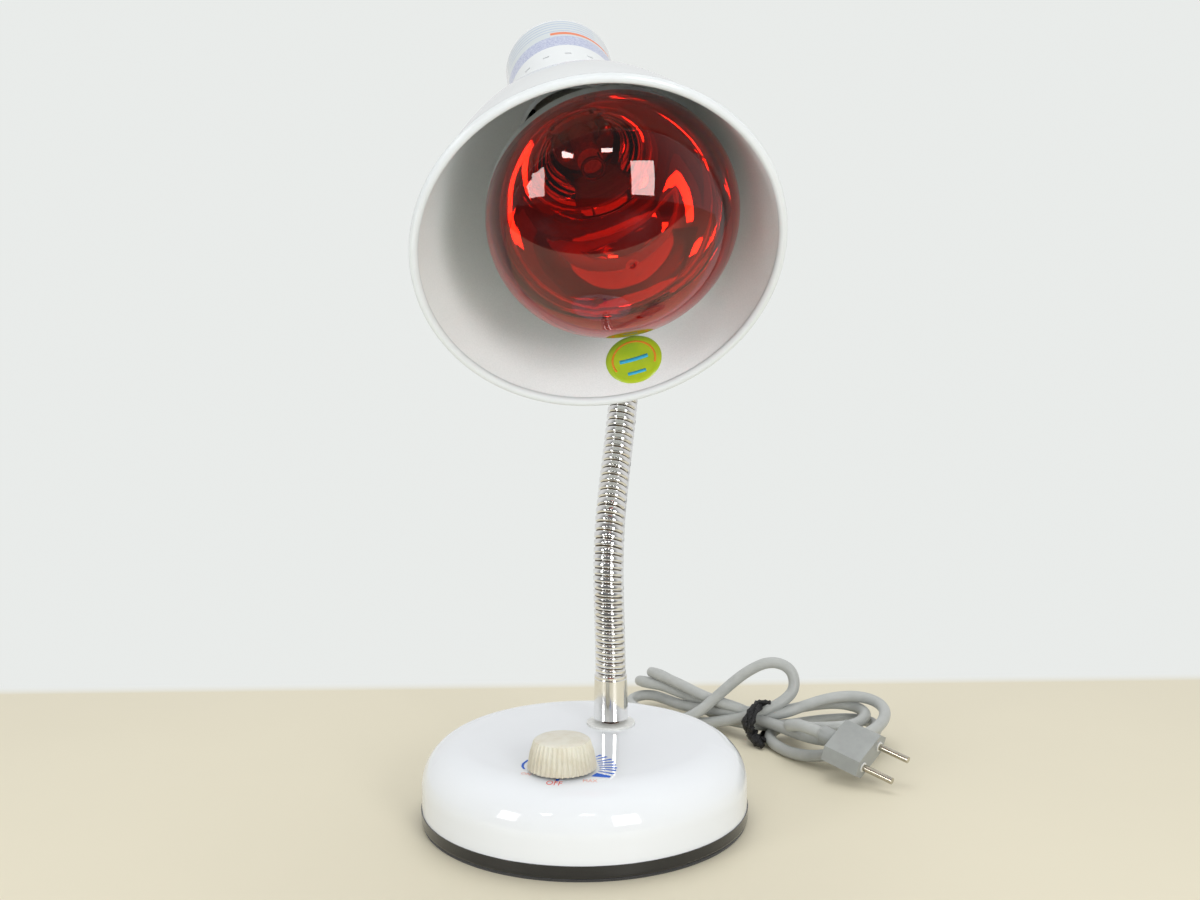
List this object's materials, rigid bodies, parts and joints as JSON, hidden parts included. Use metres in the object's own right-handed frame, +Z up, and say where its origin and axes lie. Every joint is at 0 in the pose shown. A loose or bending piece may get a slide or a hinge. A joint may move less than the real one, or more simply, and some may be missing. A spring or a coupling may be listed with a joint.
{
  "type": "infrared heat therapy lamp",
  "caption": "Table heat lamp: weighted round base with a dimmer knob, chrome gooseneck and white bell shade round a reflector heat bulb, mains cord tied in a hank.",
  "frame": {"origin": "on the table, at the centre of the round base's underside", "axes": "+Z up; -Y to the front, where the knob and the lamp's mouth are; +X to the right seen from the front"},
  "size_m": [0.2711, 0.3467, 0.4583],
  "materials": {
    "white_cover": "gloss",
    "white_lacquer": "gloss",
    "black_plastic": "gloss",
    "felt": "matte",
    "steel": "satin",
    "chrome": "polished",
    "stud_steel": "rusty",
    "cream_plastic": "satin",
    "shaft": "satin",
    "grey_pvc": "matte",
    "black_tie": "matte",
    "pin_brass": "nickel plated",
    "black_parts": "matte",
    "board": "phenolic",
    "copper": "enamelled wire",
    "terminal": "matte",
    "ceramic": "glazed ceramic",
    "brass": "plain",
    "cap_metal": "plain",
    "bulb_red": "clear red, mirrored behind",
    "stem_glass": "clear",
    "filament": "drawn wire"
  },
  "bodies": {
    "base": {"foot_pad": "felt", "base_tray": "black_plastic", "base_weight": "steel", "weight_bolts": "steel", "weight_nuts": "steel", "base_cover": "white_cover", "base_screws": "steel", "dimmer_body": "black_parts", "dimmer_washer": "steel", "dimmer_nut": "steel", "circuit_board": "board", "heat_sink": "steel", "capacitor": "black_parts", "filter_coil": "copper", "terminal_block": "terminal", "cord_clamp": "black_parts", "cord_grommet": "black_parts", "inner_cord": "grey_pvc", "neck_washer": "chrome", "neck_stud": "stud_steel", "neck_lock_washer": "steel", "neck_nut": "steel", "lower_ferrule": "chrome", "neck_root_link": "chrome", "power_cord": "grey_pvc", "cord_hank": "grey_pvc", "cord_tie": "black_tie", "plug_body": "grey_pvc", "plug_pins": "pin_brass", "plug_lead": "grey_pvc"},
    "knob": {"knob": "cream_plastic", "knob_shaft": "shaft"},
    "link_01": {"neck_link_01": "chrome"},
    "link_02": {"neck_link_02": "chrome"},
    "link_03": {"neck_link_03": "chrome"},
    "link_04": {"neck_link_04": "chrome"},
    "link_05": {"neck_link_05": "chrome"},
    "link_06": {"neck_link_06": "chrome"},
    "link_07": {"neck_link_07": "chrome"},
    "link_08": {"neck_link_08": "chrome"},
    "link_09": {"neck_link_09": "chrome"},
    "link_10": {"neck_link_10": "chrome"},
    "link_11": {"neck_link_11": "chrome"},
    "head": {"neck_end_link": "chrome", "upper_ferrule": "chrome", "upper_stud": "stud_steel", "upper_nut": "steel", "lamp_housing": "white_lacquer", "rear_cap": "white_lacquer", "shade": "white_lacquer", "lampholder_bracket": "steel", "shade_screws": "steel", "lampholder": "ceramic", "lampholder_shell": "brass", "lampholder_contact": "brass", "bulb_glass": "bulb_red", "bulb_cap": "cap_metal", "bulb_stem": "stem_glass", "bulb_filament": "filament"}
  },
  "joints": [
    {"name": "dimmer_turn", "type": "hinge", "parent": "base", "child": "knob", "pos_m": [0, -0.0555, 0.05], "axis": [0, 0, 1], "range_deg": [-300, 0]},
    {"name": "lower_bend", "type": "hinge", "parent": "base", "child": "link_01", "pos_m": [0.011, 0.0213, 0.086], "axis": [0.9997, 0, 0.0262], "range_deg": [-12, 12]},
    {"name": "lower_sway", "type": "hinge", "parent": "link_01", "child": "link_02", "pos_m": [0.01035, 0.0213, 0.11099], "axis": [0.0023, 0.9962, -0.0871], "range_deg": [-8, 8]},
    {"name": "lower_bend_2", "type": "hinge", "parent": "link_02", "child": "link_03", "pos_m": [0.00948, 0.02348, 0.13588], "axis": [0.9996, -0.0024, 0.0267], "range_deg": [-12, 12]},
    {"name": "lower_sway_2", "type": "hinge", "parent": "link_03", "child": "link_04", "pos_m": [0.00887, 0.03244, 0.15921], "axis": [0.0165, 0.8387, -0.5444], "range_deg": [-8, 8]},
    {"name": "lower_bend_3", "type": "hinge", "parent": "link_04", "child": "link_05", "pos_m": [0.00878, 0.04605, 0.18018], "axis": [0.9996, -0.0253, -0.0104], "range_deg": [-12, 12]},
    {"name": "lower_sway_3", "type": "hinge", "parent": "link_05", "child": "link_06", "pos_m": [0.00933, 0.05891, 0.20161], "axis": [0.0189, 0.9135, -0.4065], "range_deg": [-8, 8]},
    {"name": "upper_bend", "type": "hinge", "parent": "link_06", "child": "link_07", "pos_m": [0.01026, 0.06905, 0.22445], "axis": [0.9998, -0.0214, -0.0026], "range_deg": [-12, 12]},
    {"name": "upper_sway", "type": "hinge", "parent": "link_07", "child": "link_08", "pos_m": [0.01054, 0.07961, 0.24711], "axis": [0.0181, 0.8987, -0.4381], "range_deg": [-8, 8]},
    {"name": "upper_bend_2", "type": "hinge", "parent": "link_08", "child": "link_09", "pos_m": [0.00975, 0.09057, 0.26956], "axis": [0.9954, 0.0196, 0.0935], "range_deg": [-12, 12]},
    {"name": "upper_sway_2", "type": "hinge", "parent": "link_09", "child": "link_10", "pos_m": [0.00739, 0.09952, 0.29279], "axis": [-0.008, 0.9924, -0.1228], "range_deg": [-8, 8]},
    {"name": "upper_bend_3", "type": "hinge", "parent": "link_10", "child": "link_11", "pos_m": [0.00349, 0.10252, 0.3173], "axis": [0.9772, 0.0121, 0.2119], "range_deg": [-12, 12]},
    {"name": "upper_sway_3", "type": "hinge", "parent": "link_11", "child": "head", "pos_m": [-0.00157, 0.0964, 0.341], "axis": [-0.1458, 0.7641, 0.6284], "range_deg": [-8, 8]}
  ],
  "couplings": [
    {"joint": "lower_bend_2", "follows": "lower_bend", "ratio": 1},
    {"joint": "lower_sway_2", "follows": "lower_sway", "ratio": 1},
    {"joint": "lower_bend_3", "follows": "lower_bend", "ratio": 1},
    {"joint": "lower_sway_3", "follows": "lower_sway", "ratio": 1},
    {"joint": "upper_bend_2", "follows": "upper_bend", "ratio": 1},
    {"joint": "upper_sway_2", "follows": "upper_sway", "ratio": 1},
    {"joint": "upper_bend_3", "follows": "upper_bend", "ratio": 1},
    {"joint": "upper_sway_3", "follows": "upper_sway", "ratio": 1}
  ]
}
